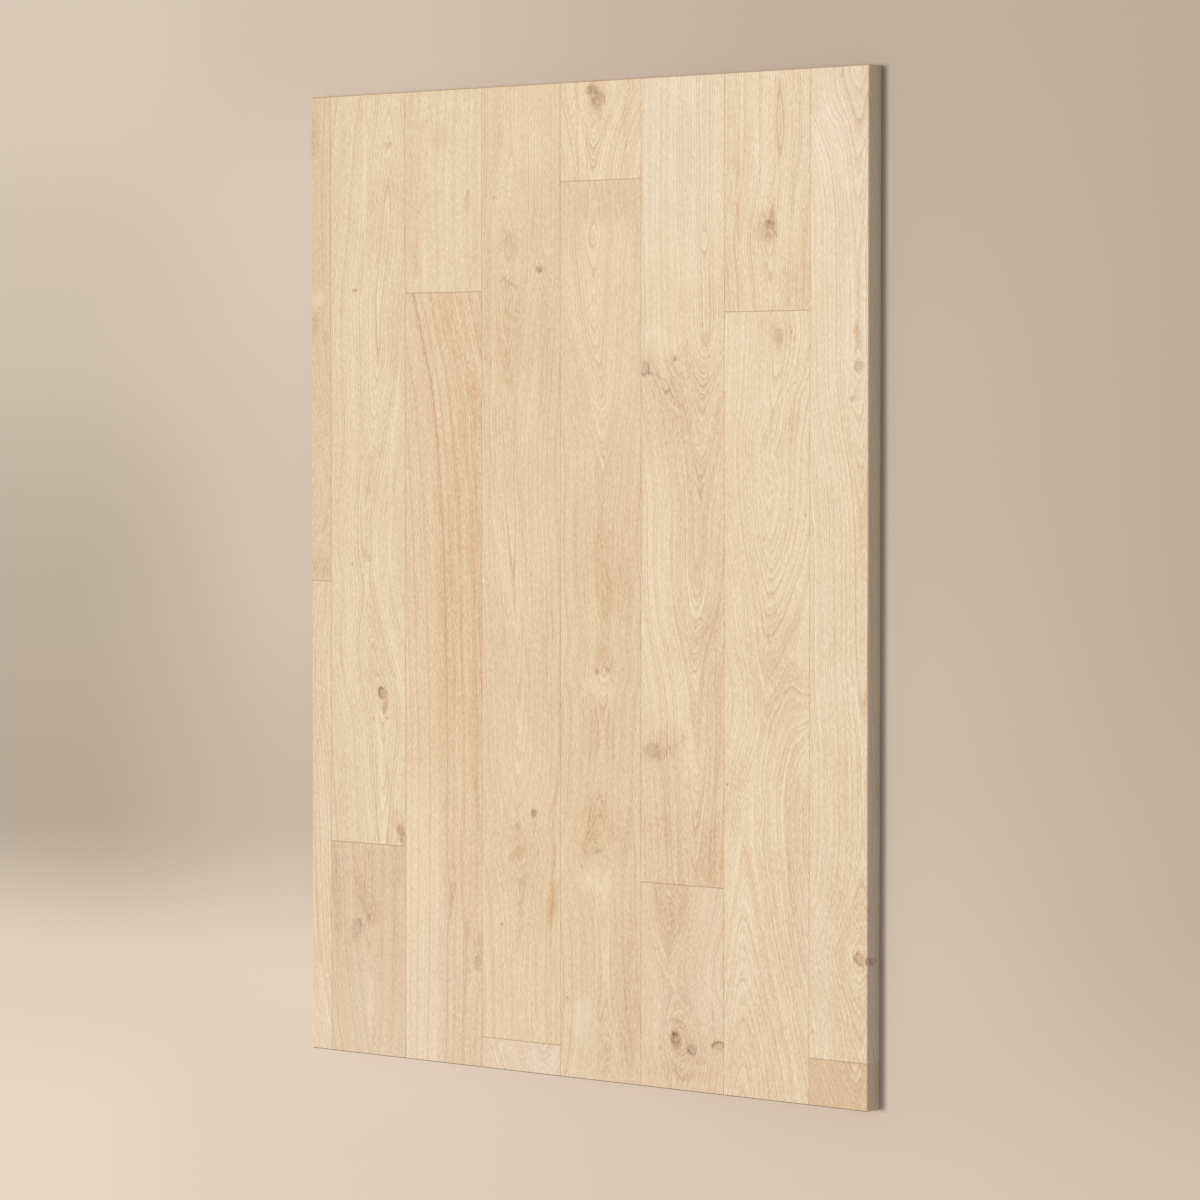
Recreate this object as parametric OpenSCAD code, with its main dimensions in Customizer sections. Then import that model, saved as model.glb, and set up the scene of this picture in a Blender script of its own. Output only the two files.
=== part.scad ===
// Parquet panel: solid oak planks in rows, laid in a random stagger and trimmed to a rectangle.
// It lies on its back. +Z is the walked-on face, +Y points to the head end, +X runs across the rows.
// The origin is the middle of the back, and all sizes are in millimetres.

/* [Panel] */
// Length of the panel, along its planks
panel_l = 1110; // [900:5:2400]
// Thickness of the planks, back to face
panel_t = 22; // [18:0.5:30]
// Chamfer round the panel's outer edges
arris = 1; // [0.5:0.1:2]

/* [Rows] */
// Face width of a full plank
plank_w = 120; // [70:1:220]
// Face width of the first row, ripped down to fit
first_row_w = 32; // [25:1:120]
// Face width of the last row, ripped down to fit
last_row_w = 80; // [25:1:120]
// Chamfer along a plank's edge where it meets its neighbour
seam_bevel = 0.6; // [0.2:0.1:1.5]

/* [End joints] */
// Row 1: length of the plank at the foot
row1_foot_l = 548; // [30:1:700]
// Row 2: length of the plank at the foot
row2_foot_l = 245; // [30:1:700]
// Row 3: length of the plank at the head
row3_head_l = 230; // [30:1:700]
// Row 4: length of the plank at the foot
row4_foot_l = 35; // [30:1:700]
// Row 5: length of the plank at the head
row5_head_l = 110; // [30:1:700]
// Row 6: length of the plank at the foot
row6_foot_l = 226; // [30:1:700]
// Row 7: length of the plank at the head
row7_head_l = 258; // [30:1:700]
// Row 8: length of the plank at the foot
row8_foot_l = 51; // [30:1:700]

/* [Tongue and groove] */
// How far a tongue stands out
tongue_l = 5; // [3:0.5:7]
// Thickness of a tongue
tongue_t = 6; // [4:0.5:7]
// Wood between the face and the top of a tongue
tongue_depth = 8; // [5:0.5:8]
// Clearance above and below a tongue in its groove
groove_gap = 0.2; // [0.1:0.05:0.4]
// Clearance in front of a tongue's tip
tip_gap = 0.5; // [0.2:0.1:1]
// Distance at which an end tongue stops short of the panel's outer edge
end_stop = 8; // [5:1:12]

/* [Hidden] */
ENDS = ["head", "foot"];
// Distance of each row's end joint from the foot of the panel
joint_from_foot = [
    row1_foot_l,
    row2_foot_l,
    panel_l - row3_head_l,
    row4_foot_l,
    panel_l - row5_head_l,
    row6_foot_l,
    panel_l - row7_head_l,
    row8_foot_l
];
rows = len(joint_from_foot);
row_w = [
    first_row_w,
    for (row = [2 : rows - 1]) plank_w,
    last_row_w
];
panel_w = first_row_w + (rows - 2) * plank_w + last_row_w;
groove_l = tongue_l + tip_gap;
tongue_z = panel_t - tongue_depth - tongue_t;
// How far a cutter runs past the wood that it cuts
over = 10;

function plank_name(row, end) = str("row", row, "_", end, "_plank");
// X of a row's left edge. Row rows + 1 starts at the panel's right edge.
function row_x(row) = row == 1 ? -panel_w / 2 : row_x(row - 1) + row_w[row - 2];
// Y of the end joint in a row
function joint_y(row) = joint_from_foot[row - 1] - panel_l / 2;

// A rectangle about the origin with chamfered corners
module chamfered_rect(w, h) {
    x = w / 2;
    y = h / 2;
    polygon([
        [-x + arris, -y], [x - arris, -y], [x, -y + arris], [x, y - arris],
        [x - arris, y], [-x + arris, y], [-x, y - arris], [-x, -y + arris]
    ]);
}

// The trimmed outline that all planks share: a slab with a chamfer on each of its edges
module panel_blank() {
    translate([0, 0, panel_t / 2])
        intersection() {
            linear_extrude(panel_t, center = true)
                chamfered_rect(panel_w, panel_l);
            rotate([90, 0, 0])
                linear_extrude(panel_l, center = true)
                    chamfered_rect(panel_w, panel_t);
            rotate([90, 0, 90])
                linear_extrude(panel_w, center = true)
                    chamfered_rect(panel_l, panel_t);
        }
}

// A tongue's block between two points of the plan, or the cutter of its groove
module tongue_block(x0, x1, y0, y1, gap = 0) {
    translate([x0, y0, tongue_z - gap])
        cube([x1 - x0, y1 - y0, tongue_t + 2 * gap]);
}

// The cutter of the V that two bevelled edges make in the face, along X from the origin
module seam_vee(length) {
    translate([-over, 0, panel_t])
        rotate([90, 0, 90])
            linear_extrude(length + 2 * over)
                polygon([[0, -seam_bevel], [over, over - seam_bevel], [-over, over - seam_bevel]]);
}

// The square-edged plank with its tongues, before its grooves and bevels are cut
module plank_stock(row, end) {
    x0 = row_x(row);
    x1 = row_x(row + 1);
    y0 = end == "head" ? joint_y(row) : -panel_l / 2;
    y1 = end == "head" ? panel_l / 2 : joint_y(row);
    translate([x0, y0, 0])
        cube([x1 - x0, y1 - y0, panel_t]);
    if (row < rows)
        tongue_block(x1, x1 + tongue_l, y0, y1);
    if (end == "head")
        end_tongue(row);
}

// The tongue at the foot end of a head plank, stopped short of the panel's outer edges
module end_tongue(row) {
    x0 = row_x(row) + (row == 1 ? end_stop : 0);
    x1 = row_x(row + 1) - (row == rows ? end_stop : 0);
    tongue_block(x0, x1, joint_y(row) - tongue_l, joint_y(row));
}

// The groove at the head end of a foot plank. It runs out through the plank's side tongue.
module end_groove(row) {
    x0 = row_x(row) + (row == 1 ? end_stop - groove_gap : -over);
    x1 = row_x(row + 1) + (row == rows ? groove_gap - end_stop : over);
    tongue_block(x0, x1, joint_y(row) - groove_l, joint_y(row) + over, groove_gap);
}

// One plank: its side groove also clears its end tongue, where the neighbour's side tongue passes
module plank(row, end) {
    x0 = row_x(row);
    x1 = row_x(row + 1);
    color("burlywood")
        difference() {
            intersection() {
                panel_blank();
                plank_stock(row, end);
            }
            if (row > 1) {
                tongue_block(x0 - over, x0 + groove_l, -panel_l, panel_l, groove_gap);
                translate([x0, -panel_l / 2, 0])
                    rotate([0, 0, 90])
                        seam_vee(panel_l);
            }
            if (row < rows)
                translate([x1, -panel_l / 2, 0])
                    rotate([0, 0, 90])
                        seam_vee(panel_l);
            if (end == "foot")
                end_groove(row);
            translate([x0, joint_y(row), 0])
                seam_vee(x1 - x0);
        }
}

for (row = [1 : rows], end = ENDS)
    plank(row, end);
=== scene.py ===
"""Dresses a parquet panel of solid oak planks that lies face up on a pale studio floor.

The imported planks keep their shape. Each gets its own oak: the growth rings of the log that it was sawn
from, bent round its knots, with the stains, pores and rubbed edges that show on its face. All grain
positions are millimetres on the plank: across from its left edge, along from its head end, and below
its face.
"""

from __future__ import annotations

import logging
import math
from collections.abc import Sequence
from dataclasses import dataclass, field
from enum import Enum

import bmesh
import bpy
from mathutils import Matrix, Vector


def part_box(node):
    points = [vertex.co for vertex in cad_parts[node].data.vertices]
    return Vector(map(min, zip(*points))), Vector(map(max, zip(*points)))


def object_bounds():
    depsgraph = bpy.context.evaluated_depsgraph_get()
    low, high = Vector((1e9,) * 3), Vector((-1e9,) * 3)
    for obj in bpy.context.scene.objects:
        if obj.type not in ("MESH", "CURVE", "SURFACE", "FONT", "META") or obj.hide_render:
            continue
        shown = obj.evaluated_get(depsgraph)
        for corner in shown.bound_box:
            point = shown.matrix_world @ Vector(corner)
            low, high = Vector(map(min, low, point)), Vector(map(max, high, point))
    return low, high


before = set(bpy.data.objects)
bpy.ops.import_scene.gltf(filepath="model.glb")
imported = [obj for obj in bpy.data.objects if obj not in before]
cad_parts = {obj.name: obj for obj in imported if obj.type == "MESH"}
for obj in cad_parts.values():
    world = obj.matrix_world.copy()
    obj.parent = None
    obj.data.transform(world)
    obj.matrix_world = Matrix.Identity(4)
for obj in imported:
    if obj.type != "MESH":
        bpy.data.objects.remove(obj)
CAD_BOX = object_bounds()

LOG = logging.getLogger("parquet_panel")
MM = 0.001
# Half length above which a mark is a stain that runs along the fibres, in mm
BROAD = 15.0
# Deeper than any plank, so that an oval reaches right through it, in mm
THROUGH = 400.0
Point = tuple[float, float]


def linear(hex_colour: str) -> tuple[float, float, float, float]:
    """Turns an sRGB hex colour into the linear colour that Blender's sockets take.

    Args:
        hex_colour: Six hex digits after a hash sign.

    Returns:
        Red, green, blue and an alpha of 1.
    """
    channels = [int(hex_colour[i : i + 2], 16) / 255 for i in (1, 3, 5)]
    red, green, blue = (c / 12.92 if c <= 0.04045 else ((c + 0.055) / 1.055) ** 2.4 for c in channels)
    return red, green, blue, 1.0


def add(
    tree: bpy.types.NodeTree, kind: str, inputs: dict | None = None, **settings: str | bool
) -> bpy.types.Node:
    """Adds one shader node with its settings, values and links.

    Args:
        tree: The material's or world's node tree.
        kind: The node's type, without its ShaderNode prefix.
        inputs: Socket name or number to a value, a socket, or a node whose first output is meant.
        **settings: Properties of the node itself.

    Returns:
        The new node.
    """
    node = tree.nodes.new("ShaderNode" + kind)
    for name, value in settings.items():
        setattr(node, name, value)
    for socket, value in (inputs or {}).items():
        if isinstance(value, bpy.types.Node):
            value = value.outputs[0]
        if isinstance(value, bpy.types.NodeSocket):
            tree.links.new(value, node.inputs[socket])
        else:
            node.inputs[socket].default_value = value
    return node


def set_stops(ramp: bpy.types.ColorRamp, stops: Sequence[tuple[float, tuple[float, ...]]]) -> None:
    """Gives a colour ramp its stops, with soft curves between them.

    Args:
        ramp: The ramp, with the two stops that it comes with.
        stops: Each stop's position, from 0 to 1, and its linear colour.
    """
    ramp.interpolation = "EASE"
    while len(ramp.elements) < len(stops):
        ramp.elements.new(0.5)
    for element, (position, colour) in zip(ramp.elements, stops):
        element.position = position
        element.color = colour


class Tint(Enum):
    """Colours of the marks that show in pale oak."""

    BARK = "#86583A"
    BROWN = "#BE9670"
    RUST = "#B98B62"
    TAN = "#D6B28B"
    ROSE = "#DFC2A6"
    GREY = "#CFB7A6"
    ASH = "#BBA08A"
    PALE = "#EFDCBF"
    GOLD = "#D6AE7E"


@dataclass(frozen=True)
class Oval:
    """A leaning oval on a plank's face.

    Attributes:
        at: Centre, across and along, in mm.
        size: Half width and half length, in mm.
        turn: Degrees that it leans.
        deep: How far below the face it reaches, in mm.
    """

    at: Point
    size: Point
    turn: float = field(default=0.0, kw_only=True)
    deep: float = field(default=THROUGH, kw_only=True)

    def inside(self, tree: bpy.types.NodeTree, place: bpy.types.Node) -> bpy.types.Node:
        """Sees each place from the oval's middle.

        Args:
            tree: The material's node tree.
            place: The place on the plank, in mm.

        Returns:
            The place, from the middle and with the rim 1 away.
        """
        return add(
            tree,
            "Mapping",
            {
                "Vector": place,
                "Location": (*self.at, 0),
                "Rotation": (0, 0, math.radians(self.turn)),
                "Scale": (*self.size, self.deep),
            },
            vector_type="TEXTURE",
        )

    def nearness(self, tree: bpy.types.NodeTree, place: bpy.types.Node) -> bpy.types.NodeSocket:
        """Measures how far each place is from the oval's middle.

        Args:
            tree: The material's node tree.
            place: The place on the plank, in mm.

        Returns:
            The squared distance, which is 1 on the rim.
        """
        spread = self.inside(tree, place)
        return add(tree, "VectorMath", {0: spread, 1: spread}, operation="DOT_PRODUCT").outputs["Value"]


@dataclass(frozen=True)
class Swirl(Oval):
    """Where the growth rings are pulled into loops, round a branch or an eye.

    Attributes:
        pull: How many mm of growth the rings are pulled by. A negative pull pushes them.
    """

    pull: float


@dataclass(frozen=True)
class Mark(Oval):
    """A stain, knot, filler or pale place on the face.

    Attributes:
        tint: Its colour.
        cover: How much of the wood's own colour it hides, from 0 to 1.
        soft: Width of its faded rim, as a share of its size.
    """

    tint: Tint
    cover: float = 0.5
    soft: float = 0.8

    @property
    def broad(self) -> bool:
        """Whether it is a stain that runs along the fibres, and not a knot."""
        return max(self.size) > BROAD


@dataclass(frozen=True)
class Knot(Oval):
    """A branch cut across: a core, a broken dark rim and fine rings that fade into the wood.

    Attributes:
        tint: Colour of its core.
        bark: How dark its rim is, from 0 to 1.
        bark_side: Where the rim is darkest, in degrees from +across towards +along.
        halo: How far its rings reach, as a multiple of its size.
    """

    tint: Tint
    bark: float = 0.5
    bark_side: float = 0.0
    halo: float = 2.0


@dataclass(frozen=True)
class Board:
    """One plank's place in the log, and what grew in it.

    Attributes:
        node: Name of the plank's node.
        tone: Colour of its clean wood between the growth lines.
        heart: Where the face comes nearest the log's heart, as stations of along, across and growth, in mm.
        ring: Mean growth in a year, in mm.
        steep: How fast the growth rises to both sides of the heart.
        lean: How much faster it rises to the right side than to the left.
        round: Half width of the round tip of a growth line over the heart, in mm.
        lines: How strongly the growth lines show.
        bands: How strongly broad tinted bands follow the growth.
        drift: How far the grain wanders, in mm.
        ripple: How far the growth lines ripple, in mm.
        swirls: Where the grain loops.
        marks: Its stains, from the first laid on to the last.
        knots: Its knots with rings of their own.
    """

    node: str
    tone: str
    heart: tuple[tuple[float, float, float], ...]
    ring: float = 4.0
    steep: float = 1.2
    lean: float = 0.0
    round: float = 12.0
    lines: float = 0.45
    bands: float = 0.3
    drift: float = 3.0
    ripple: float = 1.0
    swirls: tuple[Swirl, ...] = ()
    marks: tuple[Mark, ...] = ()
    knots: tuple[Knot, ...] = ()

    @property
    def seed(self) -> float:
        """A number of the plank's own, from its row and end, that sets its noise apart."""
        return 37.0 * int(self.node[3]) + (11.0 if "foot" in self.node else 0.0)


# What grew in each plank, from the first row to the last. Marks are laid on in their order.
BOARDS = (
    Board(
        "row1_head_plank",
        "#E0C7A5",
        (
            (0, -40, 40),
            (200, -44, 40),
            (300, -40, 36),
            (380, -20, 24),
            (415, -4, 12),
            (460, 0, 2),
            (515, 0, 24),
            (562, -2, 42),
        ),
        ring=4.4,
        steep=2.0,
        swirls=(Swirl((10, 234), (12, 12), 5), Swirl((-6, 255), (14, 30), 8)),
        marks=(
            Mark((4, 45), (8, 30), Tint.TAN, 0.6),
            Mark((3, 262), (8, 18), Tint.TAN, 0.9),
            Mark((24, 280), (5, 8), Tint.TAN, 0.7),
            Mark((14, 234), (12, 8), Tint.PALE, 0.5),
            Mark((16, 546), (18, 14), Tint.TAN, 0.5),
            Mark((20, 452), (3, 24), Tint.PALE, 0.6, turn=-14),
            Mark((14, 512), (8, 3), Tint.PALE, 0.5, turn=-30),
        ),
    ),
    Board(
        "row1_foot_plank",
        "#E7CFB1",
        ((0, 60, 8), (120, 56, 0), (240, 54, 26), (380, 64, 22), (440, 62, 34), (548, 58, 84)),
        ring=5.4,
        steep=1.5,
        lines=0.55,
        marks=(
            Mark((4, 120), (5, 80), Tint.TAN, 0.18),
            Mark((16, 160), (3, 44), Tint.TAN, 0.42, turn=12),
            Mark((8, 400), (4, 60), Tint.TAN, 0.24, turn=-4),
            Mark((16, 280), (3, 90), Tint.PALE, 0.5),
            Mark((14, 530), (30, 50), Tint.PALE, 0.6),
        ),
    ),
    Board(
        "row2_head_plank",
        "#E9D3B1",
        (
            (0, 95, 30),
            (60, 93, 20),
            (120, 92, 12),
            (190, 86, 11),
            (250, 78, 11),
            (312, 76, 15),
            (400, 66, 32),
            (520, 52, 42),
            (570, 58, 46),
            (640, 66, 26),
            (690, 78, 20),
            (720, 84, 26),
            (800, 84, 38),
            (865, 84, 46),
        ),
        ring=4.4,
        steep=1.6,
        round=8.0,
        lines=0.6,
        drift=4.0,
        swirls=(
            Swirl((40, 225), (5, 10), 5),
            Swirl((62, 533), (7, 16), 6),
            Swirl((84, 690), (12, 16), 9),
            Swirl((116, 852), (12, 20), 12),
        ),
        marks=(
            Mark((55, 110), (3, 120), Tint.PALE, 0.8),
            Mark((106, 350), (4, 70), Tint.PALE, 0.8, turn=6),
            Mark((94, 500), (4, 90), Tint.PALE, 0.8, turn=2),
            Mark((102, 640), (3, 50), Tint.PALE, 0.7, turn=-12),
            Mark((81, 790), (5, 80), Tint.PALE, 0.9, turn=-4),
            Mark((90, 780), (1.6, 60), Tint.TAN, 0.48, turn=-8),
            Mark((72, 780), (1.6, 60), Tint.TAN, 0.36, turn=-2),
            Mark((28, 620), (4, 90), Tint.PALE, 0.5),
            Mark((46, 244), (7, 26), Tint.PALE, 0.5),
            Mark((66, 150), (7, 60), Tint.TAN, 0.2, turn=8),
            Mark((93, 60), (7, 4), Tint.TAN, 0.8),
            Mark((40, 225), (4.5, 2.4), Tint.BROWN, 1.0),
            Mark((46, 470), (2.4, 50), Tint.PALE, 0.6, turn=10),
            Mark((62, 450), (2, 50), Tint.TAN, 0.36, turn=10),
            Mark((62, 534), (3, 5), Tint.BROWN, 0.5),
            Mark((34, 542), (1.5, 1.3), Tint.BARK, 0.5),
            Mark((68, 668), (16, 12), Tint.TAN, 0.4),
            Mark((87, 706), (4, 9), Tint.RUST, 0.75, turn=20),
            Mark((79, 684), (3.4, 2.6), Tint.BARK, 0.45, turn=30),
            Mark((68, 719), (1.6, 1.6), Tint.BROWN, 0.7),
            Mark((90, 719), (1.6, 1.6), Tint.BROWN, 0.7),
            Mark((106, 836), (10, 14), Tint.TAN, 0.5, turn=-30),
            Mark((111, 846), (6, 7), Tint.RUST, 0.8, turn=-30),
        ),
        knots=(
            Knot((84, 690), (8, 6), Tint.ASH, bark=0.9, bark_side=200, turn=40, halo=1.7),
            Knot((117, 856), (5.5, 6.5), Tint.GREY, bark=0.6, bark_side=200, halo=2.0),
        ),
    ),
    Board(
        "row2_foot_plank",
        "#E1C8AC",
        (
            (0, 60, 4),
            (75, 62, 10),
            (130, 62, 18),
            (200, 66, 30),
            (245, 68, 46),
        ),
        ring=4.4,
        steep=2.4,
        round=4.0,
        lines=0.6,
        bands=0.6,
        drift=2.0,
        swirls=(Swirl((42, 100), (12, 18), 10), Swirl((60, 60), (10, 24), 10, turn=-38)),
        marks=(
            Mark((20, 20), (40, 60), Tint.PALE, 0.3),
            Mark((50, 20), (80, 50), Tint.TAN, 0.2),
            Mark((60, 215), (90, 70), Tint.PALE, 0.4),
            Mark((58, 64), (12, 34), Tint.TAN, 0.6, turn=-35),
            Mark((54, 78), (5, 16), Tint.BROWN, 0.27, turn=-35),
            Mark((46, 93), (2.5, 6), Tint.BARK, 0.5, turn=-40),
            Mark((8, 28), (1.6, 14), Tint.BROWN, 0.5),
            Mark((9, 130), (1.6, 16), Tint.BROWN, 0.3),
            Mark((62, 180), (5, 45), Tint.PALE, 0.5),
            Mark((68, 226), (2.5, 14), Tint.TAN, 0.6, turn=8),
            Mark((104, 90), (6, 100), Tint.TAN, 0.24),
            Mark((8, 60), (8, 60), Tint.TAN, 0.5),
        ),
        knots=(Knot((41, 102), (7, 8.5), Tint.GREY, bark=0.25, bark_side=300, turn=25, halo=2.4),),
    ),
    Board(
        "row3_head_plank",
        "#E9D3B1",
        ((0, -180, 0), (115, -184, 0), (230, -180, 0)),
        ring=3.8,
        steep=1.5,
        lines=0.25,
        bands=0.22,
        drift=2.0,
        marks=(
            Mark((10, 150), (30, 90), Tint.TAN, 0.15),
            Mark((24, 80), (1.6, 50), Tint.TAN, 0.42, turn=6),
            Mark((18, 190), (5, 26), Tint.TAN, 0.36),
            Mark((56, 55), (12, 14), Tint.TAN, 0.3),
            Mark((98, 128), (5, 12), Tint.TAN, 0.55),
            Mark((99, 120), (1.6, 8), Tint.BROWN, 0.3, turn=20),
            Mark((10, 60), (3, 80), Tint.TAN, 0.24),
            Mark((112, 120), (3, 120), Tint.TAN, 0.24),
        ),
    ),
    Board(
        "row3_foot_plank",
        "#EBD3B2",
        ((0, -206, 0), (50, -192, 0), (110, -176, 0), (170, -168, 0), (300, -158, 0), (880, -155, 0)),
        ring=4.6,
        steep=1.6,
        lines=0.4,
        bands=0.45,
        drift=2.5,
        swirls=(
            Swirl((84, 640), (16, 60), -8, turn=-10),
            Swirl((72, 691), (8, 26), 9),
            Swirl((98, 725), (9, 14), 6),
            Swirl((117, 765), (22, 34), 20),
        ),
        marks=(
            Mark((90, 30), (60, 46), Tint.GOLD, 0.25),
            Mark((60, 220), (110, 360), Tint.GOLD, 0.27),
            Mark((86, 350), (44, 300), Tint.GOLD, 0.25),
            Mark((20, 30), (2.4, 30), Tint.BROWN, 0.33, turn=-16),
            Mark((34, 82), (2.4, 36), Tint.TAN, 0.48, turn=-15),
            Mark((48, 150), (2.4, 50), Tint.TAN, 0.42, turn=-8),
            Mark((62, 330), (6, 160), Tint.TAN, 0.24, turn=-2),
            Mark((104, 110), (7, 60), Tint.TAN, 0.6, turn=-12),
            Mark((112, 330), (8, 230), Tint.GOLD, 0.35),
            Mark((107, 60), (2, 50), Tint.PALE, 0.8, turn=-20),
            Mark((92, 50), (1.6, 50), Tint.PALE, 0.7, turn=-22),
            Mark((14, 790), (50, 230), Tint.PALE, 0.75),
            Mark((90, 740), (56, 170), Tint.ROSE, 0.4),
            Mark((60, 850), (90, 150), Tint.GREY, 0.25),
            Mark((84, 560), (3, 90), Tint.PALE, 0.6, turn=-6),
            Mark((112, 580), (4, 70), Tint.TAN, 0.48, turn=-8),
            Mark((72, 684), (4, 14), Tint.TAN, 0.8, turn=10),
            Mark((74, 690), (2, 9), Tint.BROWN, 0.6, turn=10),
            Mark((76, 682), (2, 5), Tint.GREY, 0.6),
            Mark((97, 726), (6, 10), Tint.TAN, 0.8),
            Mark((100, 716), (5, 1.6), Tint.GREY, 0.5),
            Mark((112, 742), (9, 20), Tint.TAN, 0.6),
        ),
        knots=(Knot((114, 762), (6, 8), Tint.TAN, bark=0.35, bark_side=180, halo=1.5),),
    ),
    Board(
        "row4_head_plank",
        "#E7CEAB",
        (
            (0, 44, 16),
            (110, 44, 12),
            (160, 42, 10),
            (205, 42, 10),
            (260, 40, 16),
            (335, 40, 34),
            (430, 40, 44),
            (520, 46, 50),
            (640, 56, 58),
            (780, 57, 72),
            (830, 54, 94),
            (860, 57, 78),
            (900, 57, 96),
            (1075, 58, 106),
        ),
        ring=5.0,
        steep=2.0,
        round=9.0,
        lines=0.5,
        drift=6.0,
        ripple=1.8,
        swirls=(
            Swirl((92, 206), (13, 20), 12),
            Swirl((44, 178), (17, 18), 9),
            Swirl((102, 187), (6, 8), 5),
            Swirl((80, 818), (7, 12), 8),
            Swirl((62, 868), (20, 20), 12),
            Swirl((50, 842), (9, 18), 7),
        ),
        marks=(
            Mark((6, 240), (4, 200), Tint.TAN, 0.36),
            Mark((12, 380), (2, 200), Tint.TAN, 0.42),
            Mark((18, 270), (3, 150), Tint.PALE, 0.6),
            Mark((29, 56), (3, 18), Tint.TAN, 0.48),
            Mark((60, 100), (30, 70), Tint.PALE, 0.3),
            Mark((50, 1000), (80, 110), Tint.PALE, 0.35),
            Mark((60, 960), (30, 150), Tint.ROSE, 0.4),
            Mark((80, 30), (60, 60), Tint.PALE, 0.35),
            Mark((60, 420), (100, 200), Tint.PALE, 0.3),
            Mark((44, 174), (16, 14), Tint.TAN, 0.5),
            Mark((32, 217), (9, 1.6), Tint.BROWN, 0.45, turn=-30),
            Mark((42, 220), (10, 1.6), Tint.BROWN, 0.5, turn=32),
            Mark((53, 226), (6, 1.6), Tint.BROWN, 0.45, turn=-25),
            Mark((46, 194), (8, 1.4), Tint.TAN, 0.8, turn=24),
            Mark((44, 174), (10, 10), Tint.GREY, 0.2),
            Mark((44, 270), (22, 60), Tint.TAN, 0.35),
            Mark((41, 318), (8, 24), Tint.TAN, 0.42),
            Mark((80, 150), (2, 44), Tint.TAN, 0.54, turn=6),
            Mark((84, 280), (6, 60), Tint.TAN, 0.36, turn=14),
            Mark((100, 300), (14, 90), Tint.TAN, 0.3),
            Mark((78, 330), (3, 70), Tint.PALE, 0.7, turn=8),
            Mark((20, 400), (2.4, 60), Tint.TAN, 0.48),
            Mark((53, 400), (3, 50), Tint.TAN, 0.3),
            Mark((60, 463), (3, 28), Tint.TAN, 0.45, turn=-8),
            Mark((68, 530), (2.4, 50), Tint.TAN, 0.4, turn=-12),
            Mark((60, 350), (80, 150), Tint.GOLD, 0.14),
            Mark((60, 650), (80, 120), Tint.GOLD, 0.12),
            Mark((30, 530), (5, 60), Tint.PALE, 0.6, turn=-14),
            Mark((108, 560), (1.6, 90), Tint.TAN, 0.54),
            Mark((46, 700), (26, 90), Tint.PALE, 0.3),
            Mark((103, 187), (5, 4), Tint.PALE, 0.6),
            Mark((19, 124), (2, 1.8), Tint.BROWN, 0.7),
            Mark((33, 481), (1.5, 1.3), Tint.BROWN, 0.7),
            Mark((34, 620), (3, 14), Tint.TAN, 0.6),
            Mark((69, 640), (2.4, 40), Tint.TAN, 0.54, turn=-10),
            Mark((98, 640), (1.6, 60), Tint.TAN, 0.48),
            Mark((81, 832), (1.4, 9), Tint.BROWN, 0.5),
            Mark((56, 862), (14, 6), Tint.TAN, 0.9, turn=-30),
            Mark((56, 840), (6, 16), Tint.TAN, 0.3),
            Mark((60, 892), (14, 6), Tint.GREY, 0.3),
            Mark((31, 944), (2, 1.8), Tint.BARK, 0.6),
            Mark((80, 816), (2.8, 2.4), Tint.BARK, 0.45),
            Mark((89, 207), (3, 2.4), Tint.BARK, 0.4),
            Mark((108, 918), (6, 28), Tint.GOLD, 0.6, turn=8),
            Mark((107, 928), (3.5, 14), Tint.BROWN, 0.35, turn=10),
            Mark((105, 1010), (4, 90), Tint.TAN, 0.6),
            Mark((82, 1010), (1.6, 60), Tint.TAN, 0.48),
            Mark((60, 925), (5, 44), Tint.TAN, 0.7, turn=6),
            Mark((112, 820), (3, 130), Tint.TAN, 0.5, turn=3),
            Mark((56, 870), (40, 50), Tint.TAN, 0.2),
        ),
        knots=(
            Knot((89, 206), (4.5, 4.2), Tint.RUST, bark=1.0, bark_side=120, halo=2.2),
            Knot((80, 817), (4.2, 4.4), Tint.RUST, bark=1.0, bark_side=250, halo=2.0),
        ),
    ),
    Board(
        "row4_foot_plank",
        "#EAD4BD",
        ((0, 94, 4), (20, 94, 16), (35, 94, 26)),
        ring=4.0,
        steep=1.4,
        round=5.0,
        ripple=1.6,
    ),
    Board(
        "row5_head_plank",
        "#EED9B8",
        ((0, 54, 2), (18, 56, 2), (30, 55, 10), (60, 51, 34), (82, 50, 46), (110, 49, 54)),
        ring=4.2,
        steep=2.0,
        round=8.0,
        lines=0.75,
        bands=0.5,
        ripple=0.6,
        drift=2.0,
        swirls=(Swirl((54, 15), (14, 14), 8),),
        marks=(
            Mark((80, 18), (9, 26), Tint.PALE, 0.6),
            Mark((30, 50), (4, 50), Tint.PALE, 0.6),
            Mark((24, 60), (1.6, 60), Tint.TAN, 0.54),
            Mark((40, 80), (2, 30), Tint.TAN, 0.42),
            Mark((96, 60), (3, 60), Tint.TAN, 0.3),
            Mark((53, 26), (13, 26), Tint.TAN, 0.6),
            Mark((48, 10), (10, 6), Tint.RUST, 0.85),
            Mark((45, 8), (3, 4), Tint.BARK, 0.3),
            Mark((58, 15), (8, 2.5), Tint.BARK, 0.5, turn=20),
            Mark((66, 20), (2, 6), Tint.RUST, 0.5),
        ),
        knots=(Knot((55, 24), (6.5, 6), Tint.GREY, bark=0.7, bark_side=260, turn=10, halo=2.4),),
    ),
    Board(
        "row5_foot_plank",
        "#E7CEAD",
        (
            (0, 47, 12),
            (45, 47, 8),
            (65, 47, 5),
            (85, 47, 9),
            (125, 50, 14),
            (150, 50, 18),
            (200, 58, 34),
            (250, 62, 52),
            (300, 64, 74),
            (420, 60, 80),
            (460, 65, 76),
            (510, 65, 84),
            (530, 64, 76),
            (545, 64, 74),
            (575, 64, 92),
            (660, 60, 96),
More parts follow.
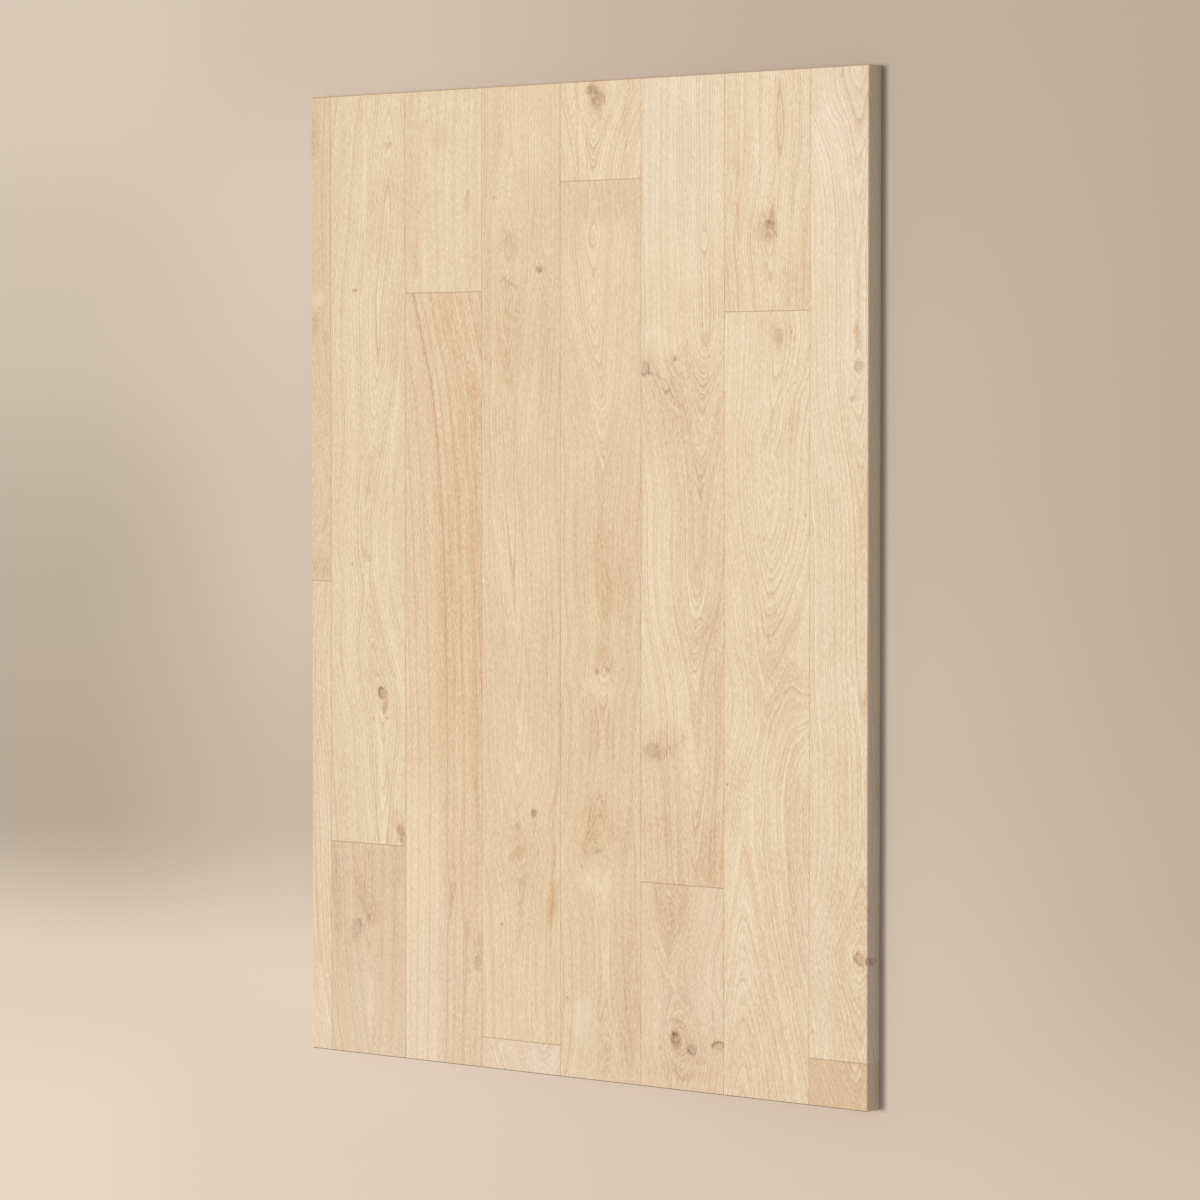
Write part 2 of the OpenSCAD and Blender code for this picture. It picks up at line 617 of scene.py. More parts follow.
            (715, 56, 88),
            (745, 52, 72),
            (790, 60, 90),
            (880, 66, 96),
            (950, 70, 82),
            (1000, 71, 58),
        ),
        ring=4.2,
        steep=2.0,
        round=13.0,
        lines=0.55,
        drift=6.0,
        ripple=1.4,
        swirls=(
            Swirl((46, 190), (14, 26), 7, turn=-30),
            Swirl((36, 262), (12, 26), 8, turn=-30),
            Swirl((60, 240), (14, 24), 8, turn=-30),
            Swirl((64, 286), (14, 20), 7, turn=-20),
            Swirl((52, 756), (22, 14), 9, turn=-20),
        ),
        marks=(
            Mark((60, 24), (46, 24), Tint.TAN, 0.45),
            Mark((47, 65), (5, 10), Tint.TAN, 0.5),
            Mark((60, 130), (90, 130), Tint.PALE, 0.3),
            Mark((84, 320), (70, 100), Tint.PALE, 0.3),
            Mark((70, 310), (80, 120), Tint.GOLD, 0.12),
            Mark((66, 620), (90, 90), Tint.GOLD, 0.2),
            Mark((14, 960), (34, 130), Tint.PALE, 0.35),
            Mark((106, 800), (28, 150), Tint.TAN, 0.25),
            Mark((60, 960), (90, 130), Tint.GREY, 0.2),
            Mark((82, 430), (46, 120), Tint.GOLD, 0.22),
            Mark((66, 440), (16, 60), Tint.GOLD, 0.32),
            Mark((92, 420), (5, 40), Tint.TAN, 0.2),
            Mark((22, 400), (3, 60), Tint.TAN, 0.42),
            Mark((104, 400), (5, 90), Tint.TAN, 0.24),
            Mark((46, 480), (8, 40), Tint.PALE, 0.45),
            Mark((63, 524), (10, 14), Tint.TAN, 0.7),
            Mark((62, 562), (28, 12), Tint.PALE, 0.8),
            Mark((62, 610), (20, 34), Tint.TAN, 0.4),
            Mark((100, 726), (4, 36), Tint.TAN, 0.54, turn=4),
            Mark((50, 718), (20, 44), Tint.GOLD, 0.3, turn=12),
            Mark((44, 728), (8, 30), Tint.BROWN, 0.3, turn=14),
            Mark((38, 730), (3, 30), Tint.TAN, 0.48, turn=14),
            Mark((70, 715), (10, 30), Tint.TAN, 0.4, turn=-20),
            Mark((52, 778), (24, 14), Tint.PALE, 0.9),
            Mark((56, 744), (10, 2.4), Tint.BROWN, 0.6, turn=-20),
            Mark((46, 748), (12, 2), Tint.GREY, 0.6, turn=-34),
            Mark((70, 750), (8, 2), Tint.GREY, 0.6, turn=30),
            Mark((33, 762), (2.6, 2.2), Tint.RUST, 0.6),
            Mark((104, 830), (5, 46), Tint.TAN, 0.48),
            Mark((11, 911), (5, 3), Tint.GREY, 0.7),
            Mark((10, 910), (2.2, 1.4), Tint.BARK, 0.4),
            Mark((30, 930), (20, 24), Tint.PALE, 0.7),
            Mark((54, 860), (1.6, 90), Tint.PALE, 0.7),
            Mark((60, 930), (5, 60), Tint.TAN, 0.24),
            Mark((100, 940), (14, 60), Tint.TAN, 0.35),
            Mark((70, 985), (5, 24), Tint.TAN, 0.48),
        ),
        knots=(
            Knot((56, 544), (3, 3), Tint.BROWN, bark=0.4, bark_side=240, halo=2.2),
            Knot((71, 542), (3, 3.4), Tint.BROWN, bark=0.45, bark_side=300, halo=2.2),
        ),
    ),
    Board(
        "row6_head_plank",
        "#EBD5B5",
        (
            (0, 92, 1),
            (160, 91, 1),
            (240, 93, 1),
            (276, 94, 2),
            (306, 93, 14),
            (350, 89, 42),
            (400, 88, 62),
            (462, 85, 80),
            (520, 82, 84),
            (580, 80, 94),
            (640, 78, 120),
            (720, 80, 132),
            (884, 80, 150),
        ),
        ring=4.0,
        steep=1.7,
        round=12.0,
        lines=0.65,
        drift=3.0,
        ripple=0.7,
        swirls=(
            Swirl((91, 181), (8, 13), 8),
            Swirl((94, 286), (9, 9), 4),
            Swirl((8, 306), (26, 24), 12),
            Swirl((5, 320), (12, 14), 8),
            Swirl((49, 308), (5, 6), 4),
            Swirl((58, 215), (12, 50), -6),
            Swirl((34, 350), (10, 30), -6, turn=-40),
            Swirl((14, 740), (18, 22), 12),
            Swirl((40, 690), (26, 50), -8),
        ),
        marks=(
            Mark((34, 70), (100, 140), Tint.PALE, 0.9),
            Mark((60, 70), (100, 110), Tint.GREY, 0.14),
            Mark((30, 230), (60, 70), Tint.PALE, 0.4),
            Mark((14, 530), (26, 100), Tint.PALE, 0.5),
            Mark((60, 345), (90, 50), Tint.TAN, 0.22),
            Mark((80, 430), (60, 110), Tint.TAN, 0.15),
            Mark((84, 560), (44, 110), Tint.TAN, 0.18),
            Mark((30, 790), (50, 50), Tint.TAN, 0.22),
            Mark((91, 181), (4, 7), Tint.PALE, 0.6),
            Mark((26, 288), (28, 16), Tint.PALE, 0.6),
            Mark((76, 380), (50, 70), Tint.TAN, 0.2),
            Mark((34, 680), (36, 40), Tint.PALE, 0.4),
            Mark((22, 326), (10, 1.6), Tint.BROWN, 0.7, turn=25),
            Mark((40, 345), (17, 1.8), Tint.BROWN, 0.7, turn=48),
            Mark((52, 354), (13, 1.6), Tint.TAN, 0.9, turn=40),
            Mark((46, 360), (13, 1.8), Tint.PALE, 0.7, turn=42),
            Mark((52, 330), (20, 1.6), Tint.PALE, 0.6, turn=38),
            Mark((58, 326), (22, 1.4), Tint.TAN, 0.7, turn=36),
            Mark((50, 342), (18, 1.4), Tint.TAN, 0.7, turn=42),
            Mark((50, 356), (40, 24), Tint.TAN, 0.2, turn=45),
            Mark((93, 287), (6, 7), Tint.TAN, 0.7),
            Mark((86, 452), (4, 10), Tint.TAN, 0.6),
            Mark((86, 456), (2.4, 6), Tint.BROWN, 0.4),
            Mark((62, 724), (2.4, 9), Tint.TAN, 0.9),
            Mark((40, 738), (18, 8), Tint.TAN, 0.5, turn=-14),
            Mark((30, 730), (22, 16), Tint.TAN, 0.5),
            Mark((98, 600), (16, 40), Tint.TAN, 0.4, turn=30),
            Mark((102, 760), (22, 150), Tint.TAN, 0.45),
            Mark((60, 862), (80, 60), Tint.TAN, 0.6),
            Mark((108, 700), (1.6, 150), Tint.TAN, 0.36),
        ),
        knots=(
            Knot((6, 319), (6.5, 7.5), Tint.GREY, bark=0.9, bark_side=40, halo=1.9),
            Knot((49, 308), (2.6, 2.6), Tint.RUST, bark=0.5, bark_side=90, halo=1.8),
            Knot((15, 739), (10, 8.5), Tint.TAN, bark=0.4, bark_side=20, halo=1.8),
        ),
    ),
    Board(
        "row6_foot_plank",
        "#E6CDB1",
        (
            (0, 43, 0),
            (45, 42, 24),
            (85, 41, 48),
            (115, 50, 60),
            (150, 58, 40),
            (175, 60, 30),
            (200, 60, 44),
            (226, 60, 52),
        ),
        ring=4.2,
        steep=2.2,
        round=14.0,
        lines=0.7,
        swirls=(Swirl((54, 172), (18, 22), 12), Swirl((112, 173), (12, 12), 8)),
        marks=(
            Mark((100, 70), (26, 80), Tint.PALE, 0.55),
            Mark((12, 130), (22, 60), Tint.PALE, 0.45),
            Mark((62, 190), (36, 40), Tint.TAN, 0.45),
            Mark((44, 20), (28, 40), Tint.TAN, 0.65),
            Mark((60, 90), (30, 90), Tint.TAN, 0.25),
            Mark((46, 42), (1.6, 4), Tint.BROWN, 0.6),
            Mark((40, 66), (7, 12), Tint.TAN, 0.9),
            Mark((40, 78), (3, 9), Tint.TAN, 0.9),
            Mark((20, 72), (4, 2), Tint.BROWN, 0.45),
            Mark((54, 124), (24, 10), Tint.GREY, 0.3),
            Mark((60, 206), (18, 8), Tint.TAN, 0.7),
            Mark((52, 150), (9, 3), Tint.BROWN, 0.5),
            Mark((50, 166), (5.4, 2.4), Tint.BARK, 0.85, turn=-30),
            Mark((53, 173), (5, 2.2), Tint.BARK, 0.75, turn=-24),
            Mark((48, 174), (2, 5), Tint.BARK, 0.6),
            Mark((104, 148), (1.3, 16), Tint.RUST, 0.48, turn=-8),
            Mark((112, 170), (9, 1.6), Tint.BROWN, 0.5, turn=-8),
            Mark((28, 181), (2.2, 1.8), Tint.BROWN, 0.6),
        ),
        knots=(
            Knot((51, 171), (7, 9), Tint.BROWN, bark=1.0, bark_side=230, turn=-20, halo=1.9),
            Knot((75, 180), (6, 6.5), Tint.ASH, bark=1.0, bark_side=140, turn=-30, halo=1.8),
            Knot((111, 173), (9.5, 5), Tint.TAN, bark=0.7, bark_side=240, turn=-6, halo=1.5),
        ),
    ),
    Board(
        "row7_head_plank",
        "#EEDABB",
        (
            (0, 77, 12),
            (58, 78, 9),
            (92, 77, 11),
            (130, 71, 12),
            (160, 66, 8),
            (190, 64, 8),
            (216, 65, 14),
            (258, 66, 18),
        ),
        ring=4.4,
        steep=2.0,
        round=6.0,
        lines=0.75,
        bands=0.45,
        ripple=0.4,
        drift=2.0,
        swirls=(Swirl((78, 58), (9, 30), 5), Swirl((63, 184), (9, 15), 4)),
        marks=(
            Mark((56, 70), (5, 70), Tint.PALE, 0.4),
            Mark((46, 90), (2, 90), Tint.PALE, 0.6),
            Mark((20, 50), (18, 90), Tint.PALE, 0.3),
            Mark((78, 59), (5, 32), Tint.TAN, 0.27),
            Mark((19, 100), (2, 110), Tint.TAN, 0.54),
            Mark((60, 240), (90, 60), Tint.GOLD, 0.22),
            Mark((8, 170), (12, 120), Tint.TAN, 0.2),
            Mark((112, 120), (6, 150), Tint.TAN, 0.18),
            Mark((96, 120), (1.6, 120), Tint.TAN, 0.42),
            Mark((59, 168), (16, 16), Tint.TAN, 0.7),
            Mark((50, 174), (9, 9), Tint.GOLD, 0.4),
            Mark((64, 165), (8, 6), Tint.RUST, 0.6),
            Mark((64, 163), (4, 2), Tint.BARK, 0.5, turn=15),
            Mark((57, 166), (6, 1.2), Tint.BROWN, 0.6, turn=-20),
            Mark((62, 169), (7, 1.2), Tint.BROWN, 0.6, turn=15),
            Mark((71, 174), (6, 1.4), Tint.BROWN, 0.7, turn=40),
            Mark((63, 192), (7, 12), Tint.PALE, 0.3),
            Mark((65, 207), (3.5, 10), Tint.PALE, 0.9),
            Mark((65, 219), (2, 3), Tint.TAN, 0.6),
        ),
        knots=(Knot((63, 179), (5.5, 5), Tint.GREY, bark=0.2, bark_side=300, halo=1.6),),
    ),
    Board(
        "row7_foot_plank",
        "#EBD6B6",
        (
            (0, 76, 16),
            (25, 76, 14),
            (60, 73, 16),
            (100, 68, 22),
            (140, 60, 24),
            (200, 60, 26),
            (240, 62, 34),
            (300, 63, 58),
            (360, 58, 82),
            (430, 56, 106),
            (480, 44, 108),
            (540, 30, 102),
            (634, 24, 84),
            (780, 24, 44),
            (852, 22, 26),
        ),
        ring=5.4,
        steep=1.5,
        lean=-0.45,
        round=10.0,
        lines=0.5,
        drift=5.0,
        ripple=1.3,
        swirls=(
            Swirl((100, 90), (14, 24), -6),
            Swirl((50, 140), (10, 12), 7),
            Swirl((70, 150), (9, 12), -6),
            Swirl((56, 182), (12, 12), 7),
            Swirl((72, 186), (8, 10), 5),
            Swirl((128, 395), (28, 66), 46),
            Swirl((22, 520), (12, 18), 8),
            Swirl((58, 542), (12, 22), 8),
        ),
        marks=(
            Mark((60, 155), (26, 46), Tint.TAN, 0.28),
            Mark((16, 528), (22, 46), Tint.TAN, 0.35),
            Mark((60, 604), (26, 56), Tint.TAN, 0.3),
            Mark((40, 380), (60, 60), Tint.TAN, 0.15),
            Mark((20, 70), (34, 120), Tint.PALE, 0.35),
            Mark((76, 372), (60, 60), Tint.TAN, 0.22),
            Mark((60, 780), (110, 130), Tint.ROSE, 0.55),
            Mark((78, 28), (18, 22), Tint.TAN, 0.2),
            Mark((94, 22), (1.5, 1.3), Tint.BARK, 0.55),
            Mark((99, 76), (1.7, 1.4), Tint.BROWN, 0.8),
            Mark((93, 213), (1.4, 1.2), Tint.BROWN, 0.7),
            Mark((114, 218), (1.4, 1.2), Tint.BROWN, 0.7),
            Mark((56, 246), (3, 2), Tint.TAN, 0.8),
            Mark((66, 100), (7, 30), Tint.PALE, 0.5, turn=20),
            Mark((62, 176), (20, 30), Tint.PALE, 0.35),
            Mark((96, 120), (12, 20), Tint.TAN, 0.35),
            Mark((5, 513), (2, 1.8), Tint.RUST, 0.6),
            Mark((98, 580), (12, 100), Tint.TAN, 0.45),
            Mark((92, 600), (1.6, 100), Tint.TAN, 0.42, turn=-4),
            Mark((112, 590), (1.6, 100), Tint.TAN, 0.36),
            Mark((24, 680), (18, 90), Tint.PALE, 0.35),
        ),
        knots=(Knot((76, 28), (6, 7), Tint.TAN, bark=0.05, bark_side=90, halo=1.9),),
    ),
    Board(
        "row8_head_plank",
        "#EAD6B8",
        (
            (0, 65, -31),
            (16, 65, -34),
            (41, 65, -30),
            (67, 66, -15),
            (103, 66, 7),
            (150, 66, 19),
            (200, 65, 23),
            (250, 66, 24),
            (345, 66, 26),
            (440, 70, 44),
            (560, 72, 50),
            (640, 72, 52),
            (760, 74, 60),
            (870, 72, 54),
            (915, 70, 34),
            (946, 69, 20),
            (975, 69, 32),
            (1010, 69, 48),
            (1059, 69, 60),
        ),
        ring=5.0,
        steep=1.5,
        round=10.0,
        lines=0.6,
        ripple=1.2,
        swirls=(
            Swirl((65, 30), (34, 60), -36),
            Swirl((67, 318), (10, 11), 8),
            Swirl((58, 352), (8, 9), 5),
            Swirl((33, 470), (12, 40), -4),
        ),
        marks=(
            Mark((14, 230), (46, 210), Tint.PALE, 0.45),
            Mark((74, 760), (48, 340), Tint.TAN, 0.26),
            Mark((50, 50), (60, 90), Tint.PALE, 0.3),
            Mark((64, 282), (5, 6), Tint.TAN, 0.9),
            Mark((63, 276), (2, 4), Tint.BROWN, 0.4),
            Mark((32, 428), (22, 18), Tint.PALE, 0.5),
            Mark((30, 660), (26, 20), Tint.PALE, 0.45),
            Mark((62, 670), (2.4, 30), Tint.PALE, 0.7, turn=-22),
            Mark((20, 940), (30, 120), Tint.ROSE, 0.3),
            Mark((60, 30), (40, 50), Tint.GREY, 0.12),
            Mark((66, 930), (40, 150), Tint.TAN, 0.15),
            Mark((68, 948), (7, 8.5), Tint.BROWN, 0.7, soft=0.3, turn=-35),
            Mark((82, 950), (4.5, 5), Tint.BARK, 1.0, deep=15),
        ),
        knots=(
            Knot((67, 318), (6, 5), Tint.GREY, bark=0.4, bark_side=200, halo=1.8),
            Knot((58, 352), (3.2, 2.8), Tint.GREY, bark=0.3, bark_side=0, halo=1.8),
            Knot((68, 948), (5, 6.5), Tint.GREY, bark=0.7, bark_side=200, turn=-35, halo=1.5),
        ),
    ),
    Board(
        "row8_foot_plank",
        "#D9BB98",
        ((0, 62, 0), (24, 64, 12), (51, 68, 28)),
        ring=4.2,
        steep=1.8,
        round=8.0,
        lines=0.65,
        bands=0.45,
        marks=(Mark((64, 8), (6, 8), Tint.PALE, 0.5), Mark((70, 32), (3, 14), Tint.TAN, 0.9, turn=20)),
    ),
)


@dataclass(frozen=True)
class MattOak:
    """Solid European oak, sanded and matt oiled: pale wood, tan growth lines, hardly any gloss.

    Attributes:
        mean_colour: What a stain's colour is measured against.
        line_colour: The open pores at the start of each year's growth.
        pale_colour: The dense wood before them.
        band_colour: Browner wood in broad bands.
        warm_colour: Pinker wood in slow patches.
        rubbed_colour: The panel's outer edges, where the oil gathers and the wood turns golden.
        seam_light_colour: Painted light on the bevels along the seams, paler than the wood so that their
            shade shows less.
        gap_colour: The closed gap in an end joint, where dust and oil darken the wood.
        foot_shadow_colour: Painted contact shadow, a dark line on the arris at the foot end.
        side_shade_colour: Painted shade on the upright sides, greyer and darker wood.
        arris: How far in from the panel's outline its own edges reach, in mm.
        rubbed_cover: How strongly the rubbed colour covers those edges.
        foot_shadow_cover: How strongly the painted contact shadow covers the foot end's edge.
        foot_shadow_slope: How quickly that painted shadow comes in as the wood turns towards the foot end.
        side_shade_cover: How strongly the painted shade covers the upright sides.
        roughness: Mean roughness of the oiled face.
        roughness_spread: How far the roughness swings with the flecks.
        ior: That of oil and wood.
        relief: Height of the flecks, in mm.
        relief_strength: How much of that height the light shows.
        fleck: Width and length of the short flecks that pores leave, in mm. Real pores are finer, so
            these are drawn as coarse as they need to show.
        fibre: Width and length of the long streaks, and their width in growth, in mm.
        band: Mean width of the broad bands, in mm of growth.
        patch: Width and length of the slow patches, in mm.
        wander: Width and length of the waves in which the grain wanders, in mm.
        jag: Width and length of the growth lines' fine jags, in mm.
        jag_reach: How far the jags go, across and along, in mm.
        ripple: Width and length of the growth lines' ripples, in mm.
        ragged: Width and length of the ragged edges of marks and knots, in mm.
        ragged_reach: How far those edges go, across and along, in mm.
        frayed: Width and length of the frayed edges of broad stains, in mm.
        frayed_reach: How far those edges go, across and along, in mm.
        knot_ring: Width of a knot's own rings, in mm.
        pale_share: How strongly the pale wood shows, as a share of the dark lines.
        fleck_depth: How much the flecks shade the wood.
        fibre_depth: How much the streaks shade it.
        patch_depth: How much the patches shade it.
        shade_tint: How strongly such shade dims red, green and blue, because shaded wood is also warmer.
        heart_span: Widest offset of a heart station, either way, in mm.
    """

    mean_colour: str = "#E6CEAD"
    line_colour: str = "#BF9463"
    pale_colour: str = "#F3E3C6"
    band_colour: str = "#D6B087"
    warm_colour: str = "#E2C29C"
    rubbed_colour: str = "#D2AE80"
    # Painted light: a paler colour that lightens the shade in the seams' grooves
    seam_light_colour: str = "#FCE6C0"
    gap_colour: str = "#A98560"
    # Painted contact shadow: a dark line on the foot end's arris
    foot_shadow_colour: str = "#86664A"
    # Painted shade: greyer, darker wood on the upright sides
    side_shade_colour: str = "#B8B9AF"
    arris: float = 1.5
    rubbed_cover: float = 2.8
    foot_shadow_cover: float = 1.8
    foot_shadow_slope: float = 2.7
    side_shade_cover: float = 0.5
    roughness: float = 0.62
    roughness_spread: float = 0.3
    ior: float = 1.46
    relief: float = 0.1
    relief_strength: float = 0.3
    fleck: Point = (0.8, 5.0)
    fibre: tuple[float, float, float] = (4.2857, 110.0, 5.0)
    band: float = 14.2857
    patch: Point = (40.0, 120.0)
    wander: Point = (50.0, 150.0)
    jag: Point = (2.0, 16.0)
    jag_reach: Point = (0.0, 2.0)
    ripple: Point = (6.0, 90.0)
    ragged: Point = (5.0, 8.0)
    ragged_reach: Point = (3.2, 4.0)
    frayed: Point = (10.0, 50.0)
    frayed_reach: Point = (5.0, 20.0)
    knot_ring: float = 2.0
    pale_share: float = 0.85
    fleck_depth: float = 1.0
    fibre_depth: float = 0.2
    patch_depth: float = 0.12
    shade_tint: tuple[float, float, float] = (0.58, 1.0, 1.48)
    heart_span: float = 300.0

    def material(self, board: Board, corner: Vector, length: float) -> bpy.types.Material:
        """Builds one plank's oak.

        Args:
            board: What grew in the plank.
            corner: Its head end's left corner on the face, in metres.
            length: Its length, in mm.

        Returns:
            The material.
        """
        material = bpy.data.materials.new("matt_oiled_oak_" + board.node)
        material.use_nodes = True
        tree = material.node_tree
        shader = tree.nodes["Principled BSDF"]
        place = self._place(tree, corner)
        growth = self._growth(tree, place, board, length)
        fleck = self._flecks(tree, place, board.seed)
        fibre = self._streaks(tree, place, growth, board.seed + 5)
        colour = self._wood(tree, place, growth, fleck, fibre, board)
        ragged = self._shifted(tree, place, self.ragged, self.ragged_reach, board.seed)
        colour = self._marks(tree, place, ragged, fleck, fibre, colour, board)
        colour = self._knots(tree, ragged, fleck, colour, board)
        colour = self._edges(tree, fibre, colour)
        tree.links.new(colour, shader.inputs["Base Color"])
        spread = self.roughness_spread
        rough = add(
            tree, "Math", {0: fleck, 1: spread, 2: self.roughness - spread / 2}, operation="MULTIPLY_ADD"
        )
        tree.links.new(rough.outputs[0], shader.inputs["Roughness"])
        bump = add(
            tree, "Bump", {"Strength": self.relief_strength, "Distance": self.relief * MM, "Height": fleck}
        )
        tree.links.new(bump.outputs[0], shader.inputs["Normal"])
        shader.inputs["IOR"].default_value = self.ior
        return material

    @staticmethod
    def _place(tree: bpy.types.NodeTree, corner: Vector) -> bpy.types.Node:
        """Gives the place on the plank in mm: across, along and below the face.

        Args:
            tree: The material's node tree.
            corner: The plank's head end's left corner on the face, in metres.

        Returns:
            The place.
        """
        here = add(tree, "TexCoord").outputs["Object"]
        scale = (1 / MM, -1 / MM, -1 / MM)
        offset = tuple(-c * s for c, s in zip(corner, scale))
        return add(tree, "Mapping", {"Vector": here, "Location": offset, "Scale": scale})

    @staticmethod
    def _shifted(
        tree: bpy.types.NodeTree, place: bpy.types.Node, size: Point, reach: Point, seed: float
    ) -> bpy.types.Node:
        """Moves the place about by smooth noise.

        Args:
            tree: The material's node tree.
            place: The place to move, in mm.
            size: Width and length of the noise's waves, in mm.
            reach: How far it moves the place, across and along, in mm.
            seed: A number that makes one plank's noise unlike another's.

        Returns:
            The moved place, in mm.
        """
        scale = (1 / size[0], 1 / size[1], 1 / size[0])
        waves = add(tree, "Mapping", {"Vector": place, "Location": (seed, seed, seed), "Scale": scale})
        noise = add(tree, "TexNoise", {"Vector": waves, "Scale": 1.0, "Detail": 2.0, "Roughness": 0.5})
        middle = (0.5, 0.5, 0.5)
        push = add(tree, "VectorMath", {0: noise.outputs["Color"], 1: middle}, operation="SUBTRACT")
        amount = (2 * reach[0], 2 * reach[1], 2 * reach[0])
        return add(tree, "VectorMath", {0: push, 1: amount, 2: place}, operation="MULTIPLY_ADD")

    def _growth(
        self, tree: bpy.types.NodeTree, place: bpy.types.Node, board: Board, length: float
    ) -> bpy.types.Node:
        """Works out how far the tree had grown from its heart at each place.

        Args:
            tree: The material's node tree.
            place: The place on the plank, in mm.
            board: What grew in the plank.
            length: The plank's length, in mm.

        Returns:
            The growth, in mm.
        """
        bent = self._shifted(tree, place, self.wander, (board.drift, 2 * board.drift), board.seed)
        across, _, below = add(tree, "SeparateXYZ", {0: bent}).outputs
        jagged = self._shifted(tree, bent, self.jag, self.jag_reach, board.seed)
        along = add(tree, "SeparateXYZ", {0: jagged}).outputs[1]
        share = add(tree, "Math", {0: along, 1: length}, operation="DIVIDE", use_clamp=True)
        span = 2 * self.heart_span
        stations = []
        for which in (1, 2):
            curve = add(tree, "FloatCurve", {"Value": share})
            points = curve.mapping.curves[0].points
            while len(points) < len(board.heart):
                points.new(0.5, 0.5)
            for point, station in zip(points, board.heart):
                point.location = (station[0] / length, 0.5 + station[which] / span)
            curve.mapping.update()
            stations.append(
                add(tree, "Math", {0: curve, 1: span, 2: -self.heart_span}, operation="MULTIPLY_ADD")
            )
        # The face cuts the log's rings: growth rises to both sides of the heart's line, and falls with
        # the depth below the face, so the rings carry on down the plank's sides
        aside = add(tree, "Math", {0: across, 1: stations[0]}, operation="SUBTRACT")
        squared = add(tree, "Math", {0: aside, 1: aside, 2: board.round**2}, operation="MULTIPLY_ADD")
        flank = add(tree, "Math", {0: squared}, operation="SQRT")
        growth = add(tree, "Math", {0: flank, 1: board.steep, 2: stations[1]}, operation="MULTIPLY_ADD")
        growth = add(tree, "Math", {0: growth, 1: below}, operation="SUBTRACT")
        growth = add(tree, "Math", {0: aside, 1: board.lean, 2: growth}, operation="MULTIPLY_ADD")
        scale = (1 / self.ripple[0], 1 / self.ripple[1], 1 / self.ripple[0])
        waves = add(tree, "Mapping", {"Vector": place, "Location": (board.seed, 0, 0), "Scale": scale})
        ripple = add(tree, "TexNoise", {"Vector": waves, "Scale": 1.0, "Detail": 1.0})
        growth = add(
            tree, "Math", {0: ripple.outputs[0], 1: 2 * board.ripple, 2: growth}, operation="MULTIPLY_ADD"
        )
        # Each swirl pulls the rings by a bell-shaped bump round its centre
        for swirl in board.swirls:
            nearness = swirl.nearness(tree, bent)
            bell = add(tree, "Math", {0: math.exp(-1), 1: nearness}, operation="POWER")
            growth = add(tree, "Math", {0: bell, 1: -swirl.pull, 2: growth}, operation="MULTIPLY_ADD")
        return growth

    def _flecks(
        self, tree: bpy.types.NodeTree, place: bpy.types.Node, seed: float
    ) -> bpy.types.NodeSocket:
        """Scatters short fine flecks along the plank, where its open pores are.

        Args:
            tree: The material's node tree.
            place: The place on the plank, in mm.
            seed: A number that makes one plank's flecks unlike another's.

        Returns:
            The flecks, around 0.5.
        """
        scale = (1 / self.fleck[0], 1 / self.fleck[1], 1 / self.fleck[0])
        # The noise is turned, here and in the streaks, so that its own grid doesn't show
        spread = add(
            tree,
            "Mapping",
            {"Vector": place, "Location": (seed, seed, seed), "Rotation": (0.5, 0.4, 0.7), "Scale": scale},
        )
        fine = {"Vector": spread, "Scale": 1.0, "Detail": 2.0, "Roughness": 0.6}
        return add(tree, "TexNoise", fine).outputs[0]

    def _streaks(
        self, tree: bpy.types.NodeTree, place: bpy.types.Node, growth: bpy.types.Node, seed: float
    ) -> bpy.types.NodeSocket:
        """Draws streaks that run with the growth lines.

        Args:
            tree: The material's node tree.
            place: The place on the plank, in mm.
            growth: The growth at that place, in mm.
            seed: A number that makes one plank's streaks unlike another's.

        Returns:
            The streaks, around 0.5.
        """
        across, along, _ = add(tree, "SeparateXYZ", {0: place}).outputs
        follow = add(tree, "CombineXYZ", {0: across, 1: along, 2: growth})
        # The growth takes the depth's place, so the streaks bend with its lines
        scale = tuple(1 / size for size in self.fibre)
        spread = add(
            tree,
            "Mapping",
            {"Vector": follow, "Location": (seed, seed, seed), "Rotation": (0.3, 0.5, 0.4), "Scale": scale},
        )
        rough = {"Vector": spread, "Scale": 1.0, "Detail": 3.0, "Roughness": 0.78}
        return add(tree, "TexNoise", rough).outputs[0]

    @staticmethod
    def _lines(
        tree: bpy.types.NodeTree, growth: bpy.types.Node, board: Board
    ) -> tuple[bpy.types.Node, bpy.types.Node]:
        """Draws each year's growth line, some years stronger than others.

        Args:
            tree: The material's node tree.
            growth: The growth at each place, in mm.
            board: What grew in the plank.

        Returns:
            How strongly the dark line and the pale wood before it show, from 0 to 1.
        """
        # Good and bad years: lines up to 1.2 years out of step, and from 0.25 to 1.15 times as strong
        years = add(tree, "Math", {0: growth, 1: board.ring}, operation="DIVIDE")
        slow = add(tree, "TexNoise", {"W": years, "Scale": 0.37, "Detail": 1.0}, noise_dimensions="1D")
        uneven = add(tree, "Math", {0: slow.outputs[0], 1: 2.4, 2: years}, operation="MULTIPLY_ADD")
        part = add(tree, "Math", {0: uneven}, operation="FRACT")
        year = add(tree, "Math", {0: uneven}, operation="FLOOR")
        luck = add(tree, "TexWhiteNoise", {"W": year}, noise_dimensions="1D")
        strength = add(tree, "Math", {0: luck, 1: 0.9, 2: 0.25}, operation="MULTIPLY_ADD")
        dark = ((0.0, 0.0), (0.06, 1.0), (0.2, 0.5), (0.62, 0.0))
        pale = ((0.0, 0.0), (0.6, 0.0), (0.92, 1.0), (1.0, 0.0))
        shown = []
        for stops in (dark, pale):
            side = add(tree, "ValToRGB", {0: part})
            set_stops(side.color_ramp, [(position, (level, level, level, 1)) for position, level in stops])
            shown.append(add(tree, "Math", {0: side, 1: strength}, operation="MULTIPLY"))
        return tuple(shown)

